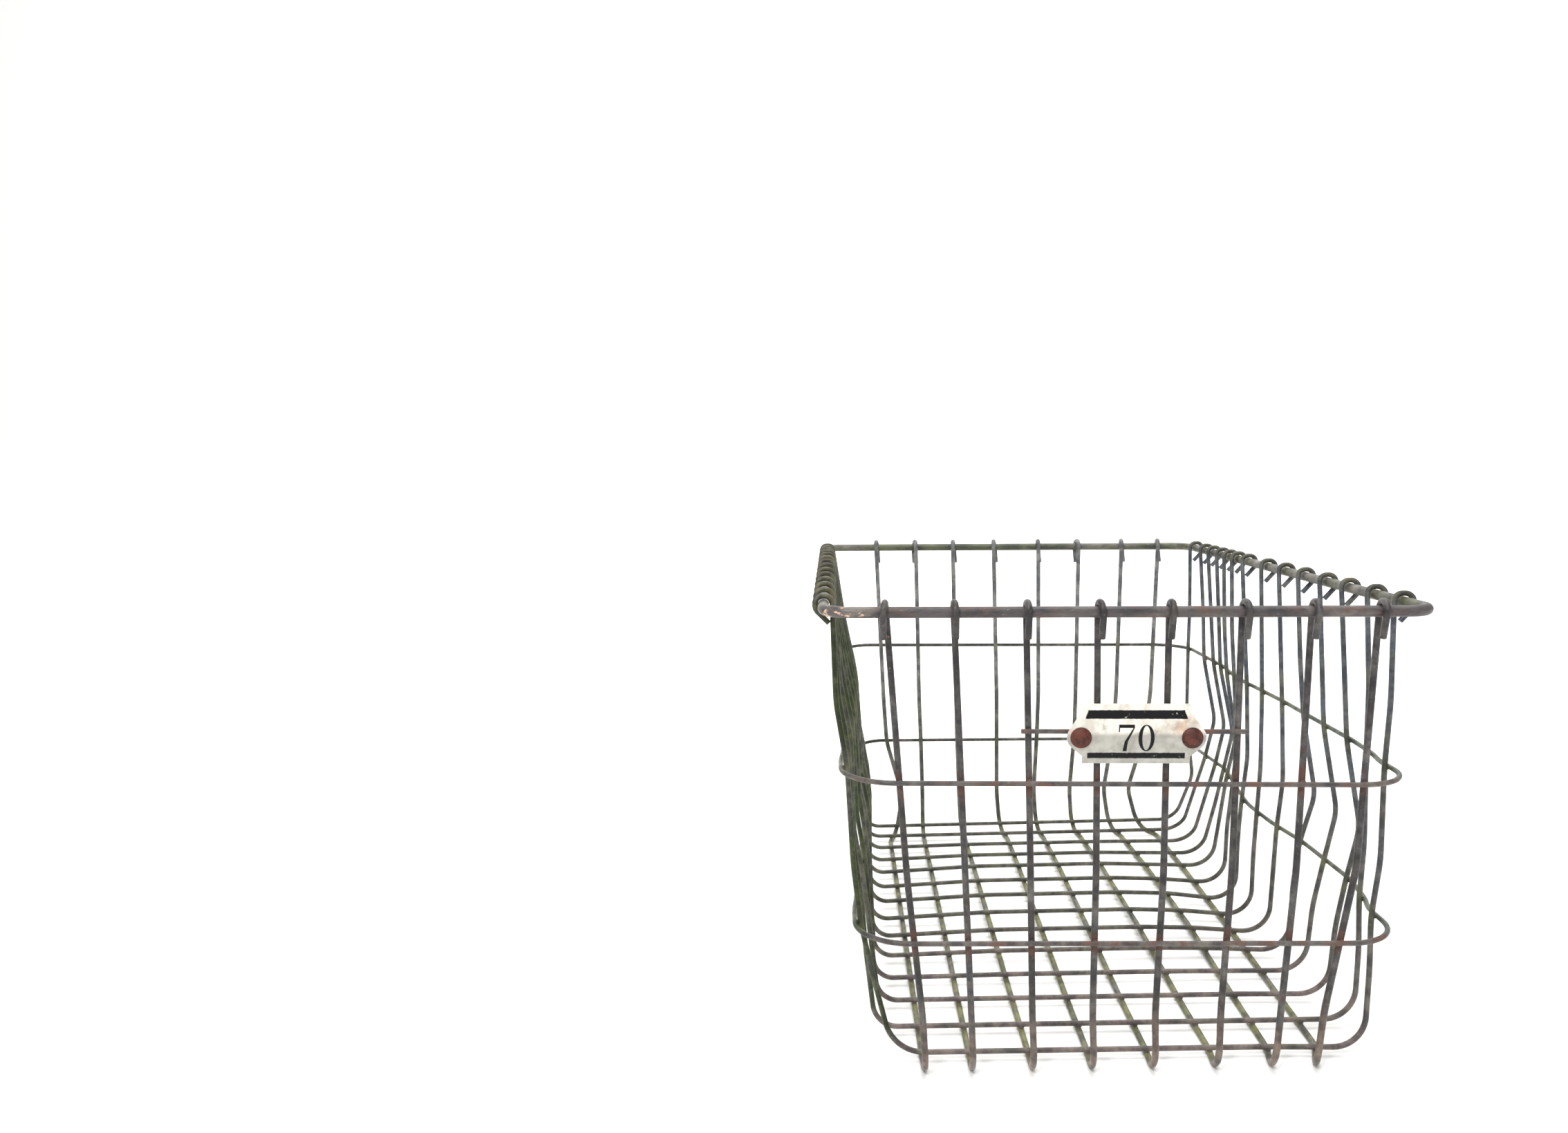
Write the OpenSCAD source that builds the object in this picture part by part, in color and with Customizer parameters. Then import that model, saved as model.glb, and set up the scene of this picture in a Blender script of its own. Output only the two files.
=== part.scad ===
// Locker-room wire basket: a heavy rim rod, fourteen wires bent to a U across the basket, eight bent to a U
// along it, two belts welded round the outside, and a number plate riveted over a short wire in front.
// X runs across the basket, Y from its front to its back, Z up from the shelf it stands on.
// Years of use have bent it: the rim leans to the right, and the side walls bulge and are dented.

/* [Basket] */
// Width over the rim rod
basket_w = 235.4; // [200:1:280]
// Depth over the rim rod
basket_d = 330; // [300:1:400]
// Height of the rim rod's centre line over the shelf, in the middle of the basket
rim_z = 187; // [150:1:230]
// Lean of the rim and the upper belt to the right, in degrees
lean = 1.7; // [0:0.1:3]

/* [Wires] */
// Diameter of the rim rod
rim_rod_d = 4.4; // [3.6:0.1:6]
// Diameter of the wires that run along the basket
length_wire_d = 2.6; // [2:0.1:3.2]
// Diameter of the wires that run across the basket
cross_wire_d = 2.2; // [1.8:0.1:3]
// Diameter of the two belts
belt_d = 2; // [1.6:0.1:2.6]
// Depth of the flat worn along the underside of the basket
wear = 0.15; // [0.1:0.01:0.3]

/* [Rim] */
// Radius of the rim's corners, at the rod's centre line
rim_corner_r = 12; // [8:0.5:24]
// How far the ends of the lengthwise wires' hooks hang below the rim rod's centre
length_tail = 10; // [8:0.5:14]
// How far the ends of the crosswise wires' hooks hang below the rim rod's centre
cross_tail = 7.5; // [6:0.5:12]

/* [Floor] */
// How far inside the rim the front wall's foot stands
front_inset = 5.2; // [1:0.1:20]
// How far inside the rim the back wall's foot stands
back_inset = 5; // [1:0.1:15]
// How far inside the rim the left wall's foot stands
left_inset = 20.2; // [12:0.1:30]
// How far inside the rim the right wall's foot stands
right_inset = 16.7; // [12:0.1:30]
// Radius of the bends at the front wall's foot
front_bend_r = 13; // [8:0.5:16]
// Radius of the bends at the back wall's foot
back_bend_r = 11; // [8:0.5:14]
// Radius of the bends at the right wall's foot
side_bend_r = 14; // [8:0.5:16]
// How far the middle of the floor has been pushed up
crown = 2.7; // [0:0.1:4]

/* [Belts] */
// Height of the upper belt in the middle of the front wall
upper_belt_z = 120; // [105:1:130]
// Height of the lower belt in the middle of the front wall
lower_belt_z = 56.6; // [40:0.5:66]
// How much higher the upper belt stands at the back
upper_belt_rise = 3.2; // [0:0.1:6]
// How much higher the lower belt stands at the back
lower_belt_rise = 3.9; // [0:0.1:8]
// Lean of the lower belt to the right, in degrees
lower_belt_lean = 1.1; // [0:0.1:3]
// Radius of the belts' corners
belt_corner_r = 22; // [10:0.5:24]

/* [Number plate] */
// Width of the plate's middle panel
panel_w = 40.9; // [36:0.1:44]
// Height of the plate's middle panel
panel_h = 23.1; // [18:0.1:28]
// Thickness of the plate's sheet
sheet = 0.8; // [0.5:0.1:1.2]
// How far the plate's upper and lower edges are bent back from the crease
crease_drop = 1; // [0.4:0.1:1.4]
// Distance between the two rivets
rivet_spacing = 42.1; // [40:0.1:45]
// Radius of the round lobe about each rivet
lobe_r = 5.3; // [4.6:0.1:6]
// Distance of the plate's middle to the right of the basket's middle
plate_x = 2.65; // [-4:0.05:4]
// Height of the plate's middle, in the middle of the basket
plate_z = 139.9; // [136:0.1:146]
// Diameter of the short wire that carries the plate
plate_wire_d = 1.9; // [1.6:0.1:2.4]
// How far the plate's wire passes the two wires that it is welded to
plate_wire_over = 3; // [1:0.5:5]

/* [Rivets] */
// Diameter of the rivets' domed heads
head_d = 8.1; // [7:0.1:9]
// Height of the rivets' domed heads
head_h = 1.9; // [1.2:0.1:2.6]
// Diameter of the rivets' shanks
shank_d = 2; // [1.6:0.1:2.4]
// Diameter of the washers behind the plate
washer_d = 6.6; // [5.6:0.1:7.4]
// Thickness of the washers
washer_t = 0.8; // [0.5:0.1:1.2]
// Height of the hammered ends of the shanks
peen_h = 0.9; // [0.6:0.1:1.2]

/* [Hidden] */
length_nodes = ["length_wire_1", "length_wire_2", "length_wire_3", "length_wire_4",
    "length_wire_5", "length_wire_6", "length_wire_7", "length_wire_8"];
cross_nodes = ["cross_wire_1", "cross_wire_2", "cross_wire_3", "cross_wire_4", "cross_wire_5",
    "cross_wire_6", "cross_wire_7", "cross_wire_8", "cross_wire_9", "cross_wire_10",
    "cross_wire_11", "cross_wire_12", "cross_wire_13", "cross_wire_14"];
$fn = 32;

// Clearance at a weld, and between the riveted pieces
weld_gap = 0.2;
// A belt's bends cut inward, so the side wires keep this much more from it
belt_slack = 0.1;
slip = 0.1;
// Each bend is this much fatter than the wire, and a straight run reaches this far into it
swell = 0.03;
bite = 0.4;
// A belt or a wall wire starts to bend this far before a knee
knee_reach = 5;
// Below this turn in degrees a knee is left out
least_turn = 0.2;
// Height of a cut below the shelf that clears every wire
cut_h = 10;
// How fine the crease of the plate is rounded, and in how many strips it is drawn
crease_round = 1.5;
crease_strips = 14;

// Where the eight lengthwise wires stand, in shares of the way from the left wall to the right one at that
// height. They are swept sideways at these heights of the front and the back wall, in heights of the rim
front_sweep_z_shares = [.45, .14];
back_sweep_z_shares = [.48, .33, .14];
front_rim_shares = [.104, .217, .337, .455, .572, .691, .804, .913];
front_sweep_shares = [[.091, .198, .317, .436, .558, .681, .796, .903],
    [.091, .185, .303, .419, .539, .664, .778, .860]];
front_foot_shares = [.084, .179, .300, .418, .539, .662, .771, .851];
back_foot_shares = [.108, .194, .320, .448, .568, .684, .806, .899];
back_sweep_shares = [[.112, .220, .332, .455, .581, .693, .815, .918],
    [.107, .214, .327, .450, .574, .690, .809, .907],
    [.138, .204, .322, .443, .562, .676, .785, .862]];
back_rim_shares = [.136, .247, .350, .463, .587, .698, .816, .916];

// Stations along the floor from the front wall to the back one, and how much of the crown each of them has
station_shares = [.071, .206, .469, .737, .938];
station_crown_shares = [0, 0, 1, 1, 0];
// How much of the crown each lengthwise wire has; it hangs from the crosswise wires, which only the third and
// the sixth push up
wire_crown_shares = [.24, .57, 1, 1, 1, 1, .54, .21];
// Where the lengthwise wires lie at the first and the last station, and how far they bow between them
front_floor_shares = [.082, .180, .303, .425, .546, .675, .794, .895];
back_floor_shares = [.082, .192, .323, .459, .575, .693, .822, .936];
floor_bow_shares = [0, 0, -.004, -.005, -.004, .002, .011, .004];
station_bow_shares = [0, .3, 1, .6, 0];

// How far each lengthwise hook's end stands beside its wire in front and at the back, in wire diameters
front_tail_shares = [-.5, .1, 0, .2, -.2, .1, -.2, -.3];
back_tail_shares = [.5, -.4, .6, .7, .4, -.5, .7, .6];

// Where the fourteen crosswise wires stand on the rim and the belts, in depths, and on the floor, in shares
// of the way from the front wall's foot to the back one's
left_rim_shares = [-.415, -.345, -.275, -.205, -.135, -.065, .010, .080, .150, .215, .275, .330, .380, .425];
left_upper_shares = [-.423, -.350, -.278, -.206, -.135, -.064, .009,
    .081, .150, .216, .279, .337, .392, .430];
left_lower_shares = [-.427, -.356, -.281, -.209, -.135, -.063, .008,
    .082, .150, .218, .283, .346, .409, .436];
floor_shares = [.055, .127, .206, .279, .358, .434, .506, .584, .655, .730, .800, .873, .946, .985];
right_lower_shares = [-.411, -.354, -.290, -.218, -.139, -.071, -.002,
    .068, .146, .207, .248, .293, .343, .430];
right_upper_shares = [-.415, -.347, -.279, -.205, -.133, -.049, .028,
    .089, .142, .194, .246, .288, .339, .433];
right_rim_shares = [-.406, -.331, -.252, -.179, -.100, -.024, .052, .142, .194, .236, .278, .327, .373, .436];
// How far each right foot is swung forward, in depths, and how far the feet stand out, in widths
right_swing_shares = [-.005, 0, -.004, 0, -.008, -.015, -.018, -.027, -.015, 0, 0, 0, 0, 0];
left_foot_shares = [-.019, .009, 0, .002, 0, 0, .002, 0, 0, 0, 0, 0, 0, 0];
right_foot_shares = [-.018, .009, .002, 0, .004, -.004, -.009, -.012, -.002, .006, .009, .014, .015, .011];
// How far each side wire stands out above, between and below the belts, in widths, and how far up it does so
left_high_shares = [.009, .008, .007, .006, .005, .004, .004, .003, .003, .002, .002, .002, .002, .002];
left_bulge_shares = [.004, .006, .010, .008, .006, .010, .008, .006, .012, .010, .008, .006, .010, .006];
left_low_shares = [.002, .002, 0, .002, 0, 0, .003, 0, 0, .002, 0, 0, 0, 0];
right_high_shares = [.004, .004, 0, 0, -.002, 0, 0, 0, -.003, -.003, 0, 0, .002, .002];
right_bulge_shares = [.007, .004, .025, .025, .028, .009, .004, .009, .009, .022, .026, .025, .026, -.005];
right_low_shares = [.002, .003, -.005, -.006, -.005, 0, -.002, -.003, -.004, 0, .002, 0, 0, .025];
high_z_share = .4;
bulge_z_share = .38;
low_z_share = .6;

// The belts' places along the side walls, in depths, and how far out they stand there, in widths
side_knee_shares = [-.385, -.350, -.280, -.130, -.040, .050, .150, .260, .395];
upper_left_shares = [.470, .466, .461, .451, .446, .441, .439, .440, .446];
upper_right_shares = [.466, .476, .482, .480, .480, .474, .466, .483, .478];
lower_left_shares = [.455, .451, .445, .433, .425, .420, .416, .414, .419];
lower_right_shares = [.448, .463, .476, .469, .451, .445, .463, .489, .477];
// Radius of each belt corner, from the right front one by the back ones to the left front one
belt_corner_shares = [1, 1, .75, 1];

// Radius of each crosswise wire's bend at its left foot, in those of the right one
left_bend_shares = [1.15, .75, .7, .65, .65, .65, .65, .65, .65, .65, .65, .7, .7, .7];
// The tail of a hook: how far below the rod's centre it turns, and how far out it ends, in loop radii
length_curl_shares = [.3, .15];
cross_curl_shares = [.5, -.56];
// How far a crosswise hook's end stands beside its wire, in wire diameters
cross_tail_share = .75;
// Radius of the loop's bends in loop radii, and of the tail's turn in wire diameters
loop_share = .9;
tail_bend_share = 2;
// Height of the plate's shoulders beside the panel, in panel heights
shoulder_share = .76;
// How far the plate's wire runs above the plate's middle, in its distances from the rivets' shanks
wire_rise_share = 1 / 3;
// Diameter of the hammered end of a shank, in shank diameters
peen_share = 2;

// Centre lines and levels that follow from the sizes
up = [0, 0, 1];
rim_x = (basket_w - rim_rod_d) / 2;
rim_y = (basket_d - rim_rod_d) / 2;
// The lengthwise wires that push the crosswise ones up, and the one past which their right feet swing forward
crown_wires = [2, 5];
swing_wire = 6;
foot_front = basket_d / 2 - front_inset;
foot_back = basket_d / 2 - back_inset;
foot_left = basket_w / 2 - left_inset;
foot_right = basket_w / 2 - right_inset;
length_z = length_wire_d / 2 - wear;
cross_stand = (length_wire_d + cross_wire_d) / 2 + weld_gap;
length_loop = (rim_rod_d + length_wire_d) / 2 + weld_gap;
cross_loop = (rim_rod_d + cross_wire_d) / 2 + weld_gap;
belt_stand = (length_wire_d + belt_d) / 2 + weld_gap;
side_stand = (cross_wire_d + belt_d) / 2 + weld_gap + belt_slack;

// Height at x of a level that leans with the rim
function level(z, x) = z - x * tan(lean);
function unit(v) = v / norm(v);
function turn(p, i) = acos(max(-1, min(1, unit(p[i] - p[i - 1]) * unit(p[i + 1] - p[i]))));
function flip(list) = [for (i = [len(list) - 1 : -1 : 0]) list[i]];
function between(a, b, t) = a + (b - a) * t;

// A straight run of wire from p to q
module rod(p, q, d) {
    run = q - p;
    translate(p)
        rotate([0, acos(run[2] / norm(run)), atan2(run[1], run[0])])
            cylinder(h = norm(run), d = d);
}

// The bend of a wire at the corner b, with its centre line's radius r
module bend(a, b, c, r, d) {
    from = unit(b - a);
    to = unit(c - b);
    angle = acos(from * to);
    axis = unit(cross(from, to));
    inward = cross(axis, from);
    centre = b - from * r * tan(angle / 2) + inward * r;
    multmatrix([for (k = [0 : 2]) [-inward[k], from[k], axis[k], centre[k]]])
        rotate_extrude(angle = angle)
            translate([r, 0])
                circle(d = d + 2 * swell);
}

// The corners of a route that turn enough to be bent; each is a point with a radius, or 0 for a knee
function kept(route) = [for (i = [0 : len(route) - 1])
    if (i == 0 || i == len(route) - 1 || turn([for (c = route) c[0]], i) > least_turn) route[i]];
function radius(p, radii, i) = radii[i] > 0 ? radii[i] : knee_reach / tan(turn(p, i) / 2);

// A bent wire of diameter d with two cut ends
module wire(route, d) {
    corners = kept(route);
    p = [for (c = corners) c[0]];
    radii = [for (c = corners) c[1]];
    last = len(p) - 1;
    cut = [for (i = [0 : last]) i == 0 || i == last ? 0 : radius(p, radii, i) * tan(turn(p, i) / 2) - bite];
    for (i = [0 : last - 1]) {
        along = unit(p[i + 1] - p[i]);
        rod(p[i] + along * cut[i], p[i + 1] - along * cut[i + 1], d);
    }
    for (i = [1 : last - 1]) bend(p[i - 1], p[i], p[i + 1], radius(p, radii, i), d);
}

// A closed ring of rod or wire
module ring(route, d) {
    loop = concat([route[len(route) - 1]], route, [route[0]]);
    corners = kept(loop);
    p = [for (c = corners) c[0]];
    radii = [for (c = corners) c[1]];
    last = len(p) - 1;
    cut = [for (i = [0 : last]) i == 0 || i == last ? 0 : radius(p, radii, i) * tan(turn(p, i) / 2) - bite];
    for (i = [1 : last - 1]) {
        along = unit(p[i + 1] - p[i]);
        far = i == last - 1 ? cut[1] : cut[i + 1];
        rod(p[i] + along * cut[i], p[i + 1] - along * far, d);
        bend(p[i - 1], p[i], p[i + 1], radius(p, radii, i), d);
    }
}

// The hook of a wire over the rim, from its cut end to the top of its inner side. at is the place on the
// rod's centre line, out points out of the basket, and the end stands side beside the wire and has the curl
function hook(at, out, along, d, tail, side, curl) = let(loop = (rim_rod_d + d) / 2 + weld_gap) [
    [at + out * loop * curl[1] + along * side - up * tail, 0],
    [at + out * loop + along * side - up * loop * curl[0], d * tail_bend_share],
    [at + out * loop + along * side / 2 + up * loop, loop * loop_share],
    [at - out * loop + up * loop, loop * loop_share]];

// Front and back walls: where the wires' centre line is at height z
function front_y(z) = between(-foot_front, length_loop - rim_y, (z - length_z) / (rim_z - length_z));
function back_y(z) = between(foot_back, rim_y - length_loop, (z - length_z) / (rim_z - length_z));
// A place between the left and the right wall at height z, and one along the floor
function wall_x(share, z) = let(t = z / rim_z)
    between(-between(foot_left, rim_x, t), between(foot_right, rim_x, t), share);
function floor_y(share) = between(-foot_front, foot_back, share);
// Where the lengthwise wire i is on the front wall at height z, above its sweeps
function front_x(i, z) = let(low = front_sweep_z_shares[0])
    between(wall_x(front_sweep_shares[0][i], low * rim_z), wall_x(front_rim_shares[i], rim_z),
        (z / rim_z - low) / (1 - low));

// The lengthwise wire i at the floor's station k
function station(i, k) = let(last = len(station_shares) - 1,
    t = (station_shares[k] - station_shares[0]) / (station_shares[last] - station_shares[0]),
    bow = floor_bow_shares[i] * station_bow_shares[k],
    raised = crown * station_crown_shares[k] * wire_crown_shares[i])
    [wall_x(between(front_floor_shares[i], back_floor_shares[i], t) + bow, 0), floor_y(station_shares[k]),
     length_z + raised];
function stations(i) = [for (k = [0 : len(station_shares) - 1]) station(i, k)];
// Where the lengthwise wire i lies at y on the floor, and how far a crosswise wire is pushed up there
function floor_x(i, y) = lookup(y, [for (p = stations(i)) [p[1], p[0]]]);
function crown_at(y) = lookup(y, [for (p = stations(crown_wires[0])) [p[1], p[2] - length_z]]);
// Height of a crosswise wire at y without the crown: on the flat floor, or on the bends at the back foot
function cross_z(y) = let(beyond = max(0, y - foot_back + back_bend_r), reach = back_bend_r - cross_stand)
    length_z + back_bend_r - sqrt(reach * reach - beyond * beyond);

// The belts, each as its height, its slope, its rise to the back and its places on the left and right walls
upper = [upper_belt_z, tan(lean), upper_belt_rise, upper_left_shares, upper_right_shares];
lower = [lower_belt_z, tan(lower_belt_lean), lower_belt_rise, lower_left_shares, lower_right_shares];
function belt_z(belt, p) = belt[0] - p[0] * belt[1] + belt[2] * (p[1] / basket_d + 1 / 2);
function back_line(belt) = back_y(belt[0] + belt[2]) + belt_stand;
// Its centre line on the left wall, where side is -1, or on the right one, where side is 1
function outline(belt, side) = let(shares = side < 0 ? belt[3] : belt[4])
    [for (k = [0 : len(shares) - 1]) [side_knee_shares[k] * basket_d, shares[k] * basket_w]];
// The place at y where a side wire passes inside it, also where it bends at its back corner
function inside(belt, side, y) = let(
    bend_r = belt_corner_shares[side < 0 ? 2 : 1] * belt_corner_r,
    beyond = max(0, y - back_line(belt) + bend_r),
    reach = bend_r - side_stand,
    x = side * (lookup(y, outline(belt, side)) - bend_r + sqrt(reach * reach - beyond * beyond)))
    [x, y, belt_z(belt, [x, y])];

module rim_rod() {
    color("#5b5448")
        ring([for (c = [[1, -1], [1, 1], [-1, 1], [-1, -1]])
            [[c[0] * rim_x, c[1] * rim_y, level(rim_z, c[0] * rim_x)], rim_corner_r]], rim_rod_d);
}

module length_wire(i) {
    front = wall_x(front_rim_shares[i], rim_z);
    back = wall_x(back_rim_shares[i], rim_z);
    front_wall = [for (k = [0 : len(front_sweep_z_shares) - 1]) let(z = front_sweep_z_shares[k] * rim_z)
        [[wall_x(front_sweep_shares[k][i], z), front_y(z), z], 0]];
    back_wall = [for (k = [0 : len(back_sweep_z_shares) - 1]) let(z = back_sweep_z_shares[k] * rim_z)
        [[wall_x(back_sweep_shares[k][i], z), back_y(z), z], 0]];
    color("#434a3c") difference() {
        wire(concat(
            hook([front, -rim_y, level(rim_z, front)], [0, -1, 0], [1, 0, 0], length_wire_d, length_tail,
                front_tail_shares[i] * length_wire_d, length_curl_shares),
            front_wall,
            [[[wall_x(front_foot_shares[i], 0), -foot_front, length_z], front_bend_r]],
            [for (k = [0 : len(station_shares) - 1]) [station(i, k), 0]],
            [[[wall_x(back_foot_shares[i], 0), foot_back, length_z], back_bend_r]],
            flip(back_wall),
            flip(hook([back, rim_y, level(rim_z, back)], [0, 1, 0], [1, 0, 0], length_wire_d, length_tail,
                back_tail_shares[i] * length_wire_d, length_curl_shares))), length_wire_d);
        translate([-basket_w / 2, -basket_d / 2, -cut_h]) cube([basket_w, basket_d, cut_h]);
    }
}

// The corner of a bend that passes through the place at, between the places before and after it
function corner(before, at, after) = let(turned = turn([before, at, after], 1))
    turned > least_turn
        ? at - unit(unit(before - at) + unit(after - at)) * knee_reach * tan(turned / 4)
        : at;

// One side of a crosswise wire, from the end of its hook to its foot. It passes the rim and the two belts at
// the three places in ys, and stands out above, between and below the belts by the three lengths in bulges
function side_route(side, ys, foot, bend_r, bulges) = let(
    out = [side, 0, 0],
    rim = [side * rim_x, ys[0], level(rim_z, side * rim_x)],
    at_upper = inside(upper, side, ys[1]),
    at_lower = inside(lower, side, ys[2]),
    high = between(at_upper, rim - out * cross_loop, high_z_share) + out * bulges[0],
    middle = between(at_lower, at_upper, bulge_z_share) + out * bulges[1],
    low = between(foot, at_lower, low_z_share) + out * bulges[2])
    concat(
        hook(rim, out, [0, -1, 0], cross_wire_d, cross_tail, cross_tail_share * cross_wire_d,
            cross_curl_shares),
        [[high, 0], [corner(high, at_upper, middle), 0], [middle, 0],
         [corner(middle, at_lower, low), 0], [low, 0], [foot, bend_r]]);

module cross_wire(i) {
    y = floor_y(floor_shares[i]);
    z = cross_z(y);
    left_foot = [-foot_left - left_foot_shares[i] * basket_w, y, z];
    right_foot = [foot_right + right_foot_shares[i] * basket_w, y + right_swing_shares[i] * basket_d, z];
    left_ys = [left_rim_shares[i], left_upper_shares[i], left_lower_shares[i]] * basket_d;
    right_ys = [right_rim_shares[i], right_upper_shares[i], right_lower_shares[i]] * basket_d;
    left_bulges = [left_high_shares[i], left_bulge_shares[i], left_low_shares[i]] * basket_w;
    right_bulges = [right_high_shares[i], right_bulge_shares[i], right_low_shares[i]] * basket_w;
    pushed_up = [for (k = crown_wires) [floor_x(k, y), y, z + crown_at(y)]];
    swing_x = floor_x(swing_wire, y);
    swing_t = (swing_x - pushed_up[1][0]) / (right_foot[0] - pushed_up[1][0]);
    color("#4a5340") wire(concat(
        side_route(-1, left_ys, left_foot, left_bend_shares[i] * side_bend_r, left_bulges),
        [for (p = pushed_up) [p, 0]],
        [[[swing_x, y, between(pushed_up[1][2], z, swing_t)], 0]],
        flip(side_route(1, right_ys, right_foot, side_bend_r, right_bulges))), cross_wire_d);
}

// A belt outside the side wires and the lengthwise ones
module belt_ring(belt) {
    front = front_y(belt[0]) - belt_stand;
    back = back_line(belt);
    right = outline(belt, 1);
    left = outline(belt, -1);
    ends = len(right) - 1;
    radii = belt_corner_shares * belt_corner_r;
    plan = concat(
        [[right[0][1], front, radii[0]]],
        [for (p = right) [p[1], p[0], 0]],
        [[right[ends][1], back, radii[1]], [-left[ends][1], back, radii[2]]],
        [for (p = flip(left)) [-p[1], p[0], 0]],
        [[-left[0][1], front, radii[3]]]);
    color("#54493c") ring([for (p = plan) [[p[0], p[1], belt_z(belt, p)], p[2]]], belt_d);
}

module upper_belt() {
    belt_ring(upper);
}

module lower_belt() {
    belt_ring(lower);
}

// The plate's wire runs just above the rivets' shanks, in front of the lengthwise wires
rivet_drop = (plate_wire_d + shank_d) / 2 + slip;
plate_wire_z = plate_z + rivet_drop * wire_rise_share;
rivet_z = plate_wire_z - rivet_drop;
plate_wire_y = front_y(plate_z) - (length_wire_d + plate_wire_d) / 2 - weld_gap;
plate_back_y = plate_wire_y - plate_wire_d / 2 - slip;
first_carrier = 2;
last_carrier = 5;

module plate_wire() {
    left = front_x(first_carrier, plate_z) - plate_wire_over;
    right = front_x(last_carrier, plate_z) + plate_wire_over;
    color("#5d5348")
        rod([left, plate_wire_y, level(plate_wire_z, left)],
            [right, plate_wire_y, level(plate_wire_z, right)], plate_wire_d);
}

// Puts a piece that is drawn about the plate's middle, with its back face on y = 0, on the basket
module on_plate() {
    translate([plate_x, plate_back_y, level(plate_z, plate_x)]) rotate([0, lean, 0]) children();
}

// How far the sheet is bent back at a height z from the plate's middle
function bent_back(z) = crease_drop * (sqrt(z * z + crease_round * crease_round) - crease_round)
    / (sqrt(panel_h * panel_h / 4 + crease_round * crease_round) - crease_round);

module plate_outline() {
    square([panel_w, panel_h], center = true);
    hull() {
        for (side = [-1, 1]) translate([side * rivet_spacing / 2, rivet_z - plate_z]) circle(r = lobe_r);
        square([panel_w, panel_h * shoulder_share], center = true);
    }
}

module number_plate() {
    half = panel_h / 2 + slip;
    heights = [for (k = [0 : crease_strips]) between(-half, half, k / crease_strips)];
    profile = concat([for (z = heights) [bent_back(z), z]],
        [for (z = flip(heights)) [bent_back(z) - sheet, z]]);
    deep = sheet + crease_drop + slip;
    color("#d9d3c6") on_plate() difference() {
        intersection() {
            translate([0, deep, 0]) rotate([90, 0, 0]) linear_extrude(height = 2 * deep) plate_outline();
            translate([-basket_w / 2, 0, 0]) rotate([90, 0, 90])
                linear_extrude(height = basket_w) polygon(profile);
        }
        for (side = [-1, 1])
            translate([side * rivet_spacing / 2, deep, rivet_z - plate_z])
                rotate([90, 0, 0]) cylinder(h = 2 * deep, d = shank_d + 2 * slip);
    }
}

// Back face of a washer, measured behind the plate's back face
washer_back = slip + plate_wire_d + slip + washer_t;

// A dome of diameter d and height h that rises along +Z from z = 0
module dome(d, h) {
    ball = (d * d / 4 + h * h) / (2 * h);
    intersection() {
        translate([0, 0, h - ball]) sphere(r = ball);
        cylinder(h = h + slip, d = d + slip);
    }
}

module rivet(side) {
    front = sheet + slip;
    color("#6f3f36") on_plate() translate([side * rivet_spacing / 2, 0, rivet_z - plate_z]) {
        translate([0, -front, 0]) rotate([90, 0, 0]) dome(head_d, head_h);
        translate([0, washer_back + slip, 0]) rotate([90, 0, 0])
            cylinder(h = washer_back + 2 * slip + front, d = shank_d);
        translate([0, washer_back + slip, 0]) rotate([-90, 0, 0])
            dome(peen_share * shank_d, peen_h);
    }
}

module washer(side) {
    color("#7b4a3c") on_plate() translate([side * rivet_spacing / 2, washer_back, rivet_z - plate_z])
        rotate([90, 0, 0]) difference() {
            cylinder(h = washer_t, d = washer_d);
            translate([0, 0, -slip]) cylinder(h = washer_t + 2 * slip, d = shank_d + 2 * slip);
        }
}

rim_rod();
upper_belt();
lower_belt();
plate_wire();
number_plate();
rivet(-1);  // rivet_left
rivet(1);  // rivet_right
washer(-1);  // washer_left
washer(1);  // washer_right
for (i = [0 : len(length_nodes) - 1]) length_wire(i);
for (i = [0 : len(cross_nodes) - 1]) cross_wire(i);
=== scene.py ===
import math
import random

import bmesh
import bpy
from mathutils import Matrix, Vector
from mathutils.bvhtree import BVHTree


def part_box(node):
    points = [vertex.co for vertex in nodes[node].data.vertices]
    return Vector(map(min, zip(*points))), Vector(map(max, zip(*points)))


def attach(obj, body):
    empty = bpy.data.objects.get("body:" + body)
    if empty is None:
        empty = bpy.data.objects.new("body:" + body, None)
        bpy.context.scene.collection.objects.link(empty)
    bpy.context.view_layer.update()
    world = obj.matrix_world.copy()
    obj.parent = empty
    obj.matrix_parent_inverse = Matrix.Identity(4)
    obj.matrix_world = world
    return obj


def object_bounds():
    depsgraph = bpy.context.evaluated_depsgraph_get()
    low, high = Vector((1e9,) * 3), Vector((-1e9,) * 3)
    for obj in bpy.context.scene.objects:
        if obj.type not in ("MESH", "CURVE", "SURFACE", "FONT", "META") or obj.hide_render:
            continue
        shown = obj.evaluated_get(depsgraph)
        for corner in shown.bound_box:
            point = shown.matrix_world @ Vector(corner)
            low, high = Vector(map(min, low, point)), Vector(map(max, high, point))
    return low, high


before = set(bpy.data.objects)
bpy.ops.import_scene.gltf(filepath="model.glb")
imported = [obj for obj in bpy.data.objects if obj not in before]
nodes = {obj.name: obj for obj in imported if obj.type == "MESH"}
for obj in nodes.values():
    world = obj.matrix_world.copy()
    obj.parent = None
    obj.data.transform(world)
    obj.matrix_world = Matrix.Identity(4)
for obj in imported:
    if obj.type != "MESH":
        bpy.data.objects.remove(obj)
cadLow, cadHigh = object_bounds()
lengthWires = ["length_wire_%d" % i for i in range(1, 9)]
crossWires = ["cross_wire_%d" % i for i in range(1, 15)]
plateWireCrosses = lengthWires[2:6]  # the four that the plate wire is welded across
belts = ["upper_belt", "lower_belt"]
mm = 0.001
print("frame loaded:", len(nodes), "nodes")


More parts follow.
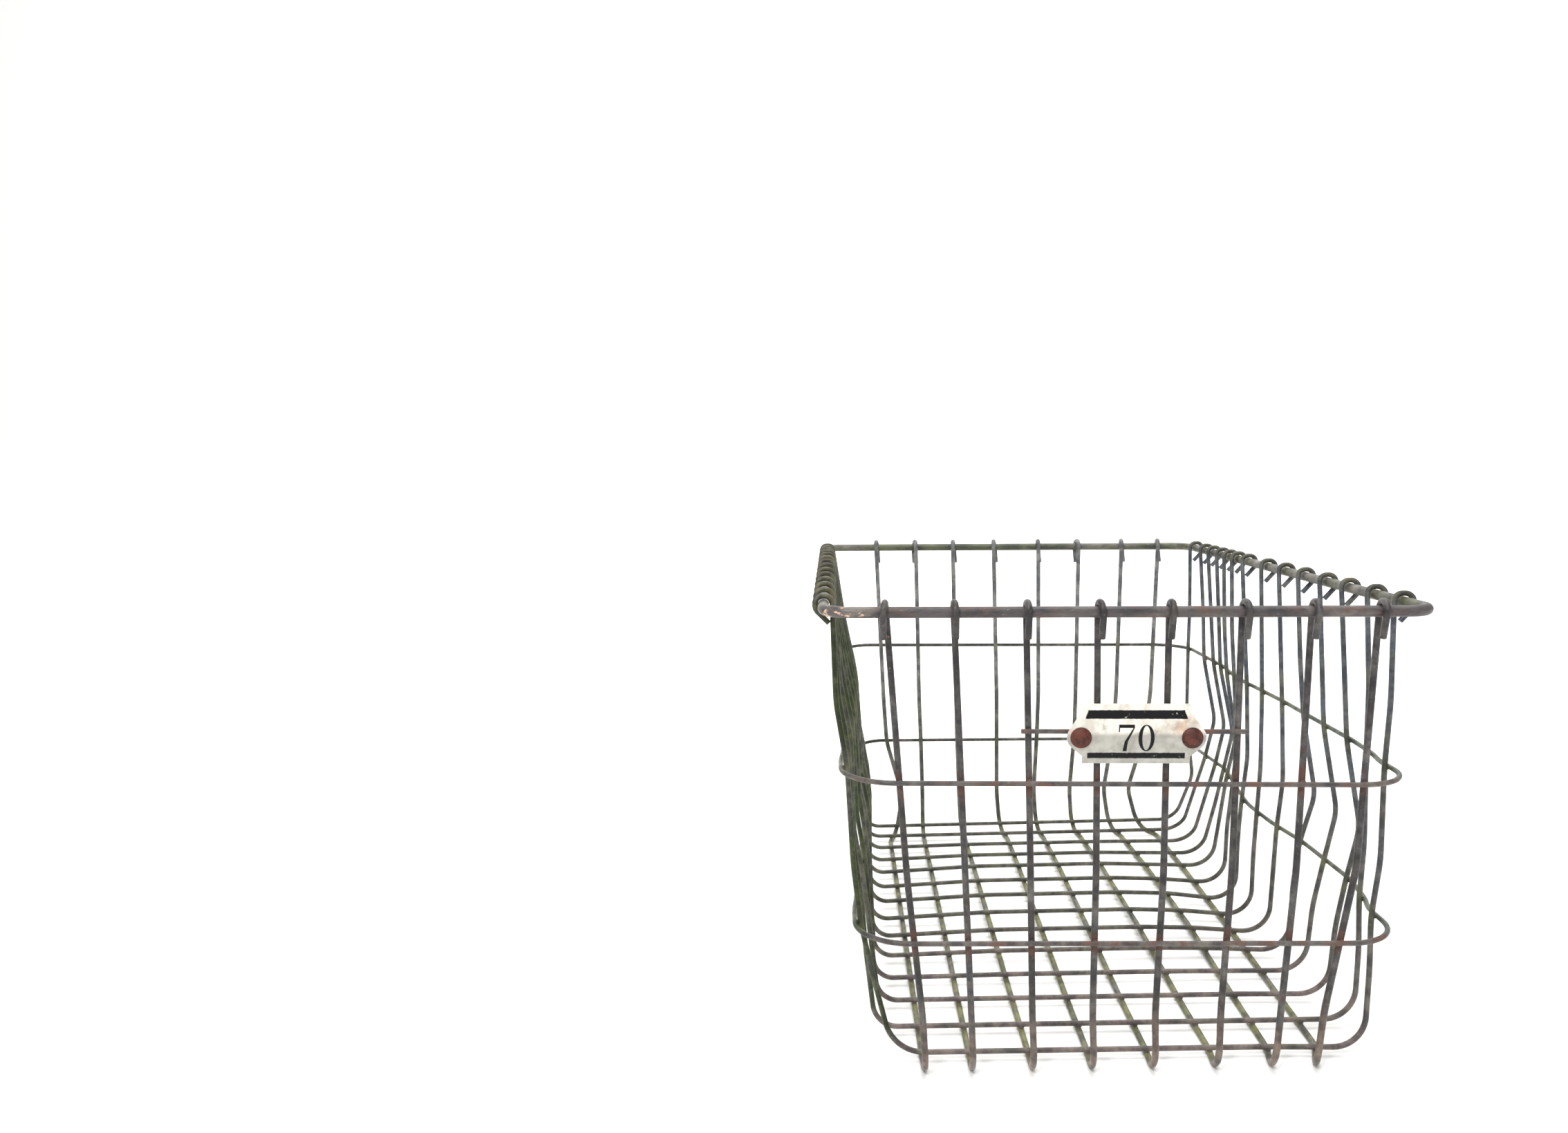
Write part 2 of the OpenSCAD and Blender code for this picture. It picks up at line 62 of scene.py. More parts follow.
# Camera: stands where the photographer stood, a little above the rim and left of the basket
camera = {
    "place": (-109.25 * mm, -622.79 * mm, 250.32 * mm),
    "down": 5.17,  # degrees, as yaw and roll are
    "yaw": -2.55,
    "roll": -2.17,
    "focalPixels": 1249.75,
    "imageWidth": 2268,
    "zoom": 1.4,  # the photograph's own view, cropped closer round its middle
    "sensorWidth": 36,  # millimetres, as Blender's lenses are
    "nearest": 10 * mm,
}


def makeCamera(view):
    down = math.radians(view["down"])
    yaw = math.radians(view["yaw"])
    roll = math.radians(view["roll"])
    ahead = Vector((math.sin(yaw) * math.cos(down), math.cos(yaw) * math.cos(down), -math.sin(down)))
    level = ahead.cross(Vector((0, 0, 1))).normalized()
    upright = level.cross(ahead)
    right = level * math.cos(roll) + upright * math.sin(roll)
    top = upright * math.cos(roll) - level * math.sin(roll)
    turned = Matrix((right, top, -ahead)).transposed().to_4x4()
    data = bpy.data.cameras.new("camera")
    data.sensor_width = view["sensorWidth"]
    data.lens = data.sensor_width * view["focalPixels"] * view["zoom"] / view["imageWidth"]
    data.clip_start = view["nearest"]
    made = bpy.data.objects.new("camera", data)
    made.matrix_world = Matrix.Translation(view["place"]) @ turned
    bpy.context.scene.collection.objects.link(made)
    bpy.context.scene.camera = made


makeCamera(camera)
print("camera placed")


# Small helpers for meshes
def addPiece(name, bm):
    mesh = bpy.data.meshes.new(name)
    bm.to_mesh(mesh)
    bm.free()
    made = bpy.data.objects.new(name, mesh)
    bpy.context.scene.collection.objects.link(made)
    return made


def smoothFaces(bm):
    for face in bm.faces:
        face.smooth = True


# Small helpers for materials
screenCurve = {"knee": 0.04045, "slope": 12.92, "offset": 0.055, "power": 2.4}


def linearLight(level):
    # a screen's level from 0 to 1, as the amount of light that it stands for
    if level <= screenCurve["knee"]:
        return level / screenCurve["slope"]
    return ((level + screenCurve["offset"]) / (1 + screenCurve["offset"])) ** screenCurve["power"]


def colour(hexCode):
    # a screen colour, such as "4a5040", as shader sockets take it
    return [linearLight(int(hexCode[i:i + 2], 16) / 255) for i in (0, 2, 4)] + [1]


def addNode(tree, kind, **values):
    node = tree.nodes.new(kind)
    for name, value in values.items():
        setattr(node, name, value)
    return node


def join(tree, start, end):
    tree.links.new(start, end)


def feed(tree, socket, value):
    # a socket is given a link, a colour or a number
    if isinstance(value, bpy.types.NodeSocket):
        join(tree, value, socket)
    else:
        socket.default_value = value


def noise(tree, place, scale, detail, rough):
    node = addNode(tree, "ShaderNodeTexNoise")
    join(tree, place, node.inputs["Vector"])
    node.inputs["Scale"].default_value = scale
    node.inputs["Detail"].default_value = detail
    node.inputs["Roughness"].default_value = rough
    return node.outputs["Fac"]


def between(tree, value, low, high, toLow=0, toHigh=1):
    # a smooth step from toLow to toHigh, as the value goes from low to high
    node = addNode(tree, "ShaderNodeMapRange", interpolation_type="SMOOTHSTEP")
    feed(tree, node.inputs["Value"], value)
    feed(tree, node.inputs["From Min"], low)
    feed(tree, node.inputs["From Max"], high)
    feed(tree, node.inputs["To Min"], toLow)
    feed(tree, node.inputs["To Max"], toHigh)
    return node.outputs["Result"]


def calculate(tree, operation, first, second=0):
    node = addNode(tree, "ShaderNodeMath", operation=operation)
    feed(tree, node.inputs[0], first)
    feed(tree, node.inputs[1], second)
    return node.outputs[0]


def plus(tree, first, second):
    return calculate(tree, "ADD", first, second)


def minus(tree, first, second):
    return calculate(tree, "SUBTRACT", first, second)


def times(tree, first, second):
    return calculate(tree, "MULTIPLY", first, second)


def larger(tree, first, second):
    return calculate(tree, "MAXIMUM", first, second)


def sizeOf(tree, value):
    return calculate(tree, "ABSOLUTE", value)


def parted(tree, place):
    # a place's X, Y and Z
    node = addNode(tree, "ShaderNodeSeparateXYZ")
    join(tree, place, node.inputs["Vector"])
    return node.outputs


def mixColours(tree, share, first, second, blend="MIX"):
    node = addNode(tree, "ShaderNodeMix", data_type="RGBA", blend_type=blend)
    feed(tree, node.inputs["Factor"], share)
    feed(tree, node.inputs["A"], first)
    feed(tree, node.inputs["B"], second)
    return node.outputs["Result"]


def blendTones(tree, share, look, first, second):
    return mixColours(tree, share, colour(look[first]), colour(look[second]))


def newGroup(name, inputs, outputs):
    tree = bpy.data.node_groups.new(name, "ShaderNodeTree")
    for label, kind, value in inputs:
        socket = tree.interface.new_socket(name=label, in_out="INPUT", socket_type="NodeSocket" + kind)
        if value is not None:
            socket.default_value = value
    for label, kind in outputs:
        tree.interface.new_socket(name=label, in_out="OUTPUT", socket_type="NodeSocket" + kind)
    return tree, tree.nodes.new("NodeGroupInput").outputs, tree.nodes.new("NodeGroupOutput").inputs


# Aged paint: decades-old dipped enamel, mottled, rubbed brown on the outside, chipped to rust and primer.
# A noise has its scale, detail and roughness; limits are where an effect begins and where it is full
agedPaintLook = {
    "inputs": [
        ("Place", "Vector", None),
        ("Paint", "Color", colour("4a5040")), ("Faded", "Color", colour("6a6a5c")),
        ("Rubbed", "Color", colour("5e4a42")), ("Chip", "Color", colour("b07a5c")),
        ("Rubbed Share", "Float", 0.4), ("Chip Share", "Float", 0.25),
    ],
    "outputs": [("Color", "Color"), ("Roughness", "Float"), ("Height", "Float")],
    "mottle": (420, 5, 0.65), "fine": (1500, 3, 0.6),
    "cloud": (45, 4, 0.6), "cloudMottle": 0.5, "fadedLimits": (0.66, 1.0),
    "stretch": (150, 3, 0.6), "stretchLimits": (0.36, 0.66),
    "darkStretch": (0.58, 0.58, 0.62, 1), "lightStretch": (1.42, 1.38, 1.30, 1),
    "patch": (110, 5, 0.7), "patchFine": 0.25, "rubbedNone": 0.95, "rubbedAll": 0.40, "rubbedEdge": 0.16,
    "flake": (330, 6, 0.7), "drift": (70, 2, 0.55), "driftShare": 0.35,
    "chipNone": 1.02, "chipAll": 0.70, "chipEdge": 0.03,
    "fleck": (700, 5, 0.75), "fleckLimits": (0.63, 0.70), "fleckShare": 0.5, "fleckTone": "a09a90",
    "grainShare": 0.35, "grainDark": "3a3a36", "grainLight": "d8d8d0",
    "shineLimits": (0.12, 0.40), "smooth": 0.34, "dull": 0.55, "bare": 0.68,
    "mottleHeight": 0.5, "fineHeight": 0.3, "chipHeight": 0.6,
}


def makeAgedPaint(look):
    tree, given, out = newGroup("agedPaint", look["inputs"], look["outputs"])
    place = given["Place"]
    cloud = noise(tree, place, *look["cloud"])
    mottle = noise(tree, place, *look["mottle"])
    fine = noise(tree, place, *look["fine"])
    faded = plus(tree, cloud, times(tree, mottle, look["cloudMottle"]))
    body = mixColours(tree, between(tree, faded, *look["fadedLimits"]), given["Paint"], given["Faded"])
    # darker and lighter stretches, a centimetre or so long
    stretch = between(tree, noise(tree, place, *look["stretch"]), *look["stretchLimits"])
    stretches = mixColours(tree, stretch, look["darkStretch"], look["lightStretch"])
    body = mixColours(tree, 1, body, stretches, "MULTIPLY")
    # rubbed patches follow a coarse noise broken up by a finer one
    patch = plus(tree, noise(tree, place, *look["patch"]), times(tree, fine, look["patchFine"]))
    rubbedLimit = between(tree, given["Rubbed Share"], 0, 1, look["rubbedNone"], look["rubbedAll"])
    rubbed = between(tree, patch, rubbedLimit, plus(tree, rubbedLimit, look["rubbedEdge"]))
    body = mixColours(tree, rubbed, body, given["Rubbed"])
    # chips are small, sharp and rough, and come in swarms
    drift = times(tree, noise(tree, place, *look["drift"]), look["driftShare"])
    flake = plus(tree, noise(tree, place, *look["flake"]), drift)
    chipLimit = between(tree, given["Chip Share"], 0, 1, look["chipNone"], look["chipAll"])
    chipped = between(tree, flake, chipLimit, plus(tree, chipLimit, look["chipEdge"]))
    body = mixColours(tree, chipped, body, given["Chip"])
    # pale flecks of dust and of lost paint
    fleck = between(tree, noise(tree, place, *look["fleck"]), *look["fleckLimits"], 0, look["fleckShare"])
    body = mixColours(tree, fleck, body, colour(look["fleckTone"]))
    grain = blendTones(tree, fine, look, "grainDark", "grainLight")
    join(tree, mixColours(tree, look["grainShare"], body, grain, "OVERLAY"), out["Color"])
    # smooth paint shines a little, and rubbed or chipped places are dull
    shine = between(tree, times(tree, mottle, fine), *look["shineLimits"], look["smooth"], look["dull"])
    join(tree, between(tree, larger(tree, rubbed, chipped), 0, 1, shine, look["bare"]), out["Roughness"])
    lift = plus(tree, times(tree, mottle, look["mottleHeight"]), times(tree, fine, look["fineHeight"]))
    join(tree, minus(tree, lift, times(tree, chipped, look["chipHeight"])), out["Height"])
    return tree


agedPaint = makeAgedPaint(agedPaintLook)


def newMaterial(name, specular, metallic=0):
    made = bpy.data.materials.new(name)
    made.use_nodes = True
    tree = made.node_tree
    shader = tree.nodes["Principled BSDF"]
    shader.inputs["Metallic"].default_value = metallic
    shader.inputs["Specular IOR Level"].default_value = specular
    place = addNode(tree, "ShaderNodeTexCoord").outputs["Object"]
    return made, tree, shader, place


def finish(tree, shader, tint, rough, height, depth):
    feed(tree, shader.inputs["Base Color"], tint)
    feed(tree, shader.inputs["Roughness"], rough)
    bump = addNode(tree, "ShaderNodeBump")
    bump.inputs["Strength"].default_value = 1
    bump.inputs["Distance"].default_value = depth
    join(tree, height, bump.inputs["Height"])
    join(tree, bump.outputs["Normal"], shader.inputs["Normal"])


# The belts' lines: each one's height at the middle of the front, its rise from there to the back, and its
# fall for each metre to the right
beltLines = [
    {"height": 120 * mm, "rise": 3.2 * mm, "fall": 0.0297},
    {"height": 56.6 * mm, "rise": 3.9 * mm, "fall": 0.0192},
]
# Where the wear changes: near a belt, through the front wall from its outside, at the inner welds, and at
# the knocked front corner, which fades to the right
wear = {
    "beltNear": 1.5 * mm, "beltFar": 9 * mm,
    "wallOutside": 9 * mm, "wallInside": 16 * mm, "innerWeldRubbed": 0.05,
    "knockedLow": 168 * mm, "knockedHigh": 184 * mm, "knockedFade": 10 * mm,
}


def nearBelts(tree, x, y, z):
    # 1 at a belt's height, where the welding burnt the paint, and 0 well away from both
    basketDepth = cadHigh.y - cadLow.y
    masks = []
    for line in beltLines:
        inMiddle = line["height"] - cadLow.y / basketDepth * line["rise"]
        level = plus(tree, inMiddle, times(tree, y, line["rise"] / basketDepth))
        level = minus(tree, level, times(tree, x, line["fall"]))
        away = sizeOf(tree, minus(tree, z, level))
        masks.append(between(tree, away, wear["beltFar"], wear["beltNear"]))
    return larger(tree, masks[0], masks[1])


def fromFront(tree, y, reach):
    # 0 at the reach's first depth behind the basket's front, 1 at its second
    return between(tree, y, cadLow.y + reach[0], cadLow.y + reach[1])


def fromBack(tree, y, reach):
    return between(tree, y, cadHigh.y - reach[0], cadHigh.y - reach[1])


def paintedMaterial(name, look, tone, streaks=1):
    # tone works out the paint's colour from the place, because the light and wear differ round the basket
    made, tree, shader, place = newMaterial(name, look["specular"])
    group = addNode(tree, "ShaderNodeGroup", node_tree=agedPaint)
    drawn = addNode(tree, "ShaderNodeMapping")
    drawn.inputs["Scale"].default_value = (1 / streaks, 1, 1)  # wear drawn out from left to right
    join(tree, place, drawn.inputs["Vector"])
    join(tree, drawn.outputs["Vector"], group.inputs["Place"])
    x, y, z = parted(tree, place)
    atWeld = nearBelts(tree, x, y, z)
    inside = fromFront(tree, y, (wear["wallOutside"], wear["wallInside"]))
    outside = fromFront(tree, y, (wear["wallInside"], wear["wallOutside"]))
    paint = tone(tree, x, y, z)
    if "thick" in look:
        # inside, the paint ran thick and green at the welds
        thick = times(tree, times(tree, atWeld, inside), look["weldThick"])
        paint = mixColours(tree, thick, paint, colour(look["thick"]))
    feed(tree, group.inputs["Paint"], paint)
    for label in ("faded", "rubbed", "chip"):
        group.inputs[label.title()].default_value = colour(look[label])
    # the welds burnt brown, in front more than inside
    weldRubbed = between(tree, inside, 0, 1, look["weldRubbed"], wear["innerWeldRubbed"])
    wallRubbed = between(tree, inside, 0, 1, look["frontRubbed"], look["innerRubbed"])
    feed(tree, group.inputs["Rubbed Share"], plus(tree, wallRubbed, times(tree, atWeld, weldRubbed)))
    # the front left corner, which was knocked most
    toLeft = between(tree, x, look["knockedTo"], look["knockedTo"] - wear["knockedFade"])
    nearRim = between(tree, z, wear["knockedLow"], wear["knockedHigh"])
    corner = times(tree, times(tree, toLeft, nearRim), outside)
    chipShare = between(tree, corner, 0, 1, look["chipShare"], look["cornerChips"])
    feed(tree, group.inputs["Chip Share"], chipShare)
    finish(tree, shader, group.outputs["Color"], group.outputs["Roughness"], group.outputs["Height"],
           look["depth"])
    return made


# Each paint's tones at its places, its wear, and the reaches over which one tone passes into the next
rimLook = {
    "front": "494547", "side": "494b39", "back": "4e5340",
    "faded": "736e6b", "rubbed": "654b41", "chip": "dcbba2",
    "innerRubbed": 0.3, "frontRubbed": 0.58, "weldRubbed": 0,
    "chipShare": 0.3, "cornerChips": 0.78, "knockedTo": -87 * mm,
    "specular": 0.4, "depth": 0.12 * mm,
    "endReach": (14 * mm, 6 * mm),
}
lengthLook = {
    "front": "3c3939", "foot": "72645b", "floor": "6a6b48", "backLow": "5c5d51", "backHigh": "757879",
    "faded": "5c5b5c", "rubbed": "5b4139", "chip": "a0745c", "thick": "50533a",
    "innerRubbed": 0.35, "frontRubbed": 0.42, "weldRubbed": 0.34, "weldThick": 0.6,
    "chipShare": 0.2, "cornerChips": 0.62, "knockedTo": -72 * mm,
    "specular": 0.35, "depth": 0.09 * mm,
    "frontReach": (25 * mm, 9 * mm), "footReach": (40 * mm, 8 * mm), "floorReach": (14 * mm, 5 * mm),
    "backReach": (60 * mm, 130 * mm),
}
crossLook = {
    "left": "2a350f", "floorFront": "6d6260", "floorBack": "48483c", "rightLow": "5a5856",
    "rightHigh": "4e535c", "hooks": "52503e",
    "faded": "57574f", "rubbed": "60473f", "chip": "a8785f", "thick": "50533a",
    "innerRubbed": 0.34, "frontRubbed": 0.5, "weldRubbed": 0.35, "weldThick": 0.75,
    "chipShare": 0.2, "cornerChips": 0.5, "knockedTo": -92 * mm,
    "specular": 0.35, "depth": 0.08 * mm,
    "acrossReach": (-60 * mm, 40 * mm), "rightReach": (40 * mm, 110 * mm),
    "hookReach": (180 * mm, 190 * mm),
    "floorReach": (16 * mm, 7 * mm), "floorBackReach": (-100 * mm, 30 * mm),
}
beltLook = {
    "front": "535050", "left": "333c17", "right": "555d50", "back": "2e3129",
    "faded": "66625e", "rubbed": "684e45", "chip": "a8705a",
    "innerRubbed": 0.25, "frontRubbed": 0.6, "weldRubbed": 0,
    "chipShare": 0.22, "cornerChips": 0.3, "knockedTo": -92 * mm,
    "specular": 0.35, "depth": 0.08 * mm,
    "acrossReach": (-60 * mm, 60 * mm), "endReach": (22 * mm, 9 * mm),
}
beadLook = dict(beltLook, front="4a3832", left="3a3a22", right="45452f", back="403f30", faded="595043",
                innerRubbed=0.3, frontRubbed=0.65)


def rimTone(tree, x, y, z):
    inside = blendTones(tree, fromBack(tree, y, rimLook["endReach"]), rimLook, "side", "back")
    return mixColours(tree, fromFront(tree, y, rimLook["endReach"]), inside, colour(rimLook["front"]))


def lengthTone(tree, x, y, z):
    look = lengthLook
    back = blendTones(tree, between(tree, z, *look["backReach"]), look, "backLow", "backHigh")
    inside = mixColours(tree, between(tree, z, *look["floorReach"]), back, colour(look["floor"]))
    front = blendTones(tree, between(tree, z, *look["footReach"]), look, "front", "foot")
    return mixColours(tree, fromFront(tree, y, look["frontReach"]), inside, front)


def crossTone(tree, x, y, z):
    look = crossLook
    right = blendTones(tree, between(tree, z, *look["rightReach"]), look, "rightLow", "rightHigh")
    walls = mixColours(tree, between(tree, x, *look["acrossReach"]), colour(look["left"]), right)
    walls = mixColours(tree, between(tree, z, *look["hookReach"]), walls, colour(look["hooks"]))
    floor = blendTones(tree, between(tree, y, *look["floorBackReach"]), look, "floorFront", "floorBack")
    return mixColours(tree, between(tree, z, *look["floorReach"]), walls, floor)


def roundTone(tree, x, y, look):
    # the four walls' own tones, for what goes all round
    sides = blendTones(tree, between(tree, x, *look["acrossReach"]), look, "left", "right")
    inside = mixColours(tree, fromBack(tree, y, look["endReach"]), sides, colour(look["back"]))
    return mixColours(tree, fromFront(tree, y, look["endReach"]), inside, colour(look["front"]))


def beltTone(tree, x, y, z):
    return roundTone(tree, x, y, beltLook)


def beadTone(tree, x, y, z):
    return roundTone(tree, x, y, beadLook)


rimPaint = paintedMaterial("rimPaint", rimLook, rimTone, streaks=2.6)
lengthPaint = paintedMaterial("lengthPaint", lengthLook, lengthTone)
crossPaint = paintedMaterial("crossPaint", crossLook, crossTone)
beltPaint = paintedMaterial("beltPaint", beltLook, beltTone)
burntPaint = paintedMaterial("burntPaint", beadLook, beadTone)


# Rivets: steel heads gone red-brown
rivetLook = {
    "body": "5e3127", "dark": "3a1f1a", "bright": "8a4a38",
    "coarse": (260, 4, 0.6), "darkLimits": (0.38, 0.62),
    "fine": (1600, 4, 0.65), "brightLimits": (0.55, 0.72),
    "shineLimits": (0.3, 0.7), "smooth": 0.45, "dull": 0.7,
    "metallic": 0.1, "specular": 0.35, "depth": 0.12 * mm,
}


def makeRustySteel(look):
    made, tree, shader, place = newMaterial("rustySteel", look["specular"], look["metallic"])
    coarse = noise(tree, place, *look["coarse"])
    fine = noise(tree, place, *look["fine"])
    tint = blendTones(tree, between(tree, coarse, *look["darkLimits"]), look, "body", "dark")
    tint = mixColours(tree, between(tree, fine, *look["brightLimits"]), tint, colour(look["bright"]))
    rough = between(tree, fine, *look["shineLimits"], look["smooth"], look["dull"])
    finish(tree, shader, tint, rough, fine, look["depth"])
    return made


rustySteel = makeRustySteel(rivetLook)

# The number plate, measured from its own middle: right is positive and so is up. The metal is painted
# brighter above its middle and darker below, as painted light and painted shade, and the stains lie above
# too
plateLook = {
    "litUpperMetal": "f3f0e7", "lower": "b8b7b1", "paintedLightReach": (-0.8 * mm, 1.2 * mm),
    "patch": (95, 3, 0.6), "stain": "cfa68c", "stainLimits": (0.52, 0.70), "stainReach": (-2 * mm, 2 * mm),
    "stainShare": 0.65,
    "cloud": (150, 4, 0.65), "cloudLimits": (0.38, 0.64), "clear": "fefdfb", "clouded": "e0deda",
    "mottle": (220, 5, 0.6), "fine": (1400, 4, 0.6),
    "grime": "86827a", "grimeFine": 0.4, "grimeLimits": (0.74, 0.98), "grimeShare": 0.55,
    "topBand": {"low": 5.9 * mm, "high": 9.2 * mm, "half": 19.3 * mm, "slant": 1.0 * mm},
    "lowBand": {"low": -9.5 * mm, "high": -7.3 * mm, "half": 18.5 * mm, "slant": 0.0},
    "bandEdge": 0.12 * mm, "ragged": (900, 3, 0.55), "raggedBy": 0.35 * mm,
    "ink": "121215", "wornFine": 0.5, "wornLimits": (0.88, 0.96), "wornInk": 0.35,
    "metallic": 0.35, "specular": 0.2, "shineLimits": (0.3, 0.7), "smooth": 0.38, "dull": 0.6,
    "depth": 0.05 * mm,
}
plateLow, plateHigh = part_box("number_plate")
plateMiddle = (plateLow + plateHigh) / 2
leftRivet = sum(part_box("rivet_left"), Vector()) / 2
rightRivet = sum(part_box("rivet_right"), Vector()) / 2
plateLean = math.atan2(leftRivet.z - rightRivet.z, rightRivet.x - leftRivet.x)


def bandMask(tree, across, height, ragged, band, edge):
    # 1 inside the band; the ink's edge is a little ragged
    level = plus(tree, height, ragged)
    above = between(tree, level, band["low"] - edge, band["low"] + edge)
    below = between(tree, level, band["high"] + edge, band["high"] - edge)
    # the ends slant outwards from the top edge to the bottom one
    reach = between(tree, height, band["low"], band["high"], band["half"], band["half"] - band["slant"])
    inside = between(tree, minus(tree, reach, sizeOf(tree, across)), -edge, edge)
    return times(tree, times(tree, above, below), inside)


def makePlateMaterial(look):
    made, tree, shader, place = newMaterial("stampedAluminium", look["specular"])
    centred = addNode(tree, "ShaderNodeMapping", vector_type="TEXTURE")
    centred.inputs["Location"].default_value = plateMiddle
    centred.inputs["Rotation"].default_value = (0, plateLean, 0)
    join(tree, place, centred.inputs["Vector"])
    local = centred.outputs["Vector"]
    across, _, height = parted(tree, local)
    mottle = noise(tree, local, *look["mottle"])
    fine = noise(tree, local, *look["fine"])
    # painted light and shade: the upper half is painted lit and the lower half painted in shade
    tint = blendTones(tree, between(tree, height, *look["paintedLightReach"]), look, "lower", "litUpperMetal")
    patch = between(tree, noise(tree, local, *look["patch"]), *look["stainLimits"])
    stained = times(tree, patch, between(tree, height, *look["stainReach"]))
    tint = mixColours(tree, times(tree, stained, look["stainShare"]), tint, colour(look["stain"]))
    # cloudy dulling, a few millimetres across
    cloud = between(tree, noise(tree, local, *look["cloud"]), *look["cloudLimits"])
    tint = mixColours(tree, 1, tint, blendTones(tree, cloud, look, "clear", "clouded"), "MULTIPLY")
    dirt = plus(tree, mottle, times(tree, fine, look["grimeFine"]))
    dirty = between(tree, dirt, *look["grimeLimits"], 0, look["grimeShare"])
    tint = mixColours(tree, dirty, tint, colour(look["grime"]))
    # the two printed bands, worn through in specks
    centredNoise = minus(tree, noise(tree, local, *look["ragged"]), 0.5)
    ragged = times(tree, centredNoise, look["raggedBy"])
    ink = larger(tree, bandMask(tree, across, height, ragged, look["topBand"], look["bandEdge"]),
                 bandMask(tree, across, height, ragged, look["lowBand"], look["bandEdge"]))
    rubbing = plus(tree, mottle, times(tree, fine, look["wornFine"]))
    worn = between(tree, rubbing, *look["wornLimits"], 1, look["wornInk"])
    tint = mixColours(tree, times(tree, ink, worn), tint, colour(look["ink"]))
    feed(tree, shader.inputs["Metallic"], between(tree, ink, 0, 1, look["metallic"], 0))
    rough = between(tree, mottle, *look["shineLimits"], look["smooth"], look["dull"])
    finish(tree, shader, tint, rough, plus(tree, mottle, fine), look["depth"])
    return made


stampedAluminium = makePlateMaterial(plateLook)

finishes = {"rim_rod": rimPaint, "upper_belt": beltPaint, "lower_belt": beltPaint, "plate_wire": beltPaint,
            "number_plate": stampedAluminium}
for name in lengthWires:
    finishes[name] = lengthPaint
for name in crossWires:
    finishes[name] = crossPaint
for name, node in nodes.items():
    node.material_slots[0].material = finishes.get(name, rustySteel)  # rivets and washers are steel
print("materials made")


# Welds: a small squeezed bead of metal at each crossing
weld = {
    "across": 1.25 * mm, "spread": 0.18, "squeeze": 0.15, "through": 0.62 * mm,
    "furthest": 0.9 * mm,  # wires further apart than this aren't welded
    "sides": 8, "rings": 6, "seed": 7,
    "tries": 12,  # goes to and fro between two wires
    "floorLevel": 4 * mm,  # where the search for a crossing on the floor starts
}
chance = random.Random(weld["seed"])


def surfaceOf(name):
    bm = bmesh.new()
    bm.from_mesh(nodes[name].data)
    tree = BVHTree.FromBMesh(bm)
    bm.free()
    return tree


surfaces = {name: surfaceOf(name) for name in lengthWires + crossWires + belts + ["plate_wire"]}


def crossing(first, second, start):
    # the nearest places of two wires, found by going to and fro between them
    here = Vector(start)
    for _ in range(weld["tries"]):
        there = surfaces[second].find_nearest(here)[0]
        here = surfaces[first].find_nearest(there)[0]
    return here, there


def addBead(bm, here, there):
    gap = there - here
    if gap.length > weld["furthest"]:
        return 0
    size = weld["across"] * chance.uniform(1 - weld["spread"], 1 + weld["spread"])
    other = size * chance.uniform(1 - weld["squeeze"], 1 + weld["squeeze"])
    turned = gap.to_track_quat("Z", "Y").to_matrix().to_4x4()
    shape = Matrix.Diagonal((size, other, weld["through"] + gap.length / 2, 1))
    bmesh.ops.create_uvsphere(bm, u_segments=weld["sides"], v_segments=weld["rings"], radius=1,
                              matrix=Matrix.Translation((here + there) / 2) @ turned @ shape)
    return 1


def floorPlace(name):
    # where a wire's run along the floor lies nearest to the basket's middle line
    low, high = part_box(name)
    return surfaces[name].find_nearest(((low.x + high.x) / 2, (low.y + high.y) / 2, 0))[0]


def makeFloorWelds():
    bm = bmesh.new()
    made = 0
    rows = {name: floorPlace(name).y for name in crossWires}
    columns = {name: floorPlace(name).x for name in lengthWires}
    for crossWire in crossWires:
        for lengthWire in lengthWires:
            start = (columns[lengthWire], rows[crossWire], weld["floorLevel"])
            made += addBead(bm, *crossing(crossWire, lengthWire, start))
    smoothFaces(bm)
    print("floor welds:", made)
    return addPiece("floor_welds", bm)


def makeBeltWelds(belt):
    bm = bmesh.new()
    made = 0
    beltLow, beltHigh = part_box(belt)
    level = (beltLow.z + beltHigh.z) / 2
    for name in crossWires:
        low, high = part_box(name)
        for x in (beltLow.x, beltHigh.x):
            made += addBead(bm, *crossing(name, belt, (x, (low.y + high.y) / 2, level)))
    for name in lengthWires:
        low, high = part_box(name)
        for y in (beltLow.y, beltHigh.y):
            made += addBead(bm, *crossing(name, belt, ((low.x + high.x) / 2, y, level)))
    # the plate wire's welds go with the upper belt's
    if belt == "upper_belt":
        for name in plateWireCrosses:
            low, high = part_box(name)
            start = ((low.x + high.x) / 2, beltLow.y, plateMiddle.z)
            made += addBead(bm, *crossing(name, "plate_wire", start))
    smoothFaces(bm)
    print(belt, "welds:", made)
    return addPiece(belt + "_welds", bm)


floorWelds = makeFloorWelds()
floorWelds.data.materials.append(crossPaint)
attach(floorWelds, "root")
for belt in belts:
    beltWelds = makeBeltWelds(belt)
    beltWelds.data.materials.append(burntPaint)
    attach(beltWelds, "root")
print("welds made")


# The number: a plain 70 in fat and thin strokes, printed on the sheet and bent with it
number = {
    "height": 10.4 * mm, "width": 6.1 * mm, "gap": 1.4 * mm, "middle": -1.5 * mm,
    "fat": 1.45 * mm, "thin": 0.42 * mm, "proud": 0.04 * mm, "strips": 26, "ovalSides": 40,
    "rayStart": 100 * mm,  # how far in front of the basket the sheet is looked for
    "fine": (1200, 4, 0.65), "wornLimits": (0.60, 0.84),
    "shineLimits": (0.3, 0.7), "smooth": 0.4, "dull": 0.6, "specular": 0.2, "depth": 0.01 * mm,
}
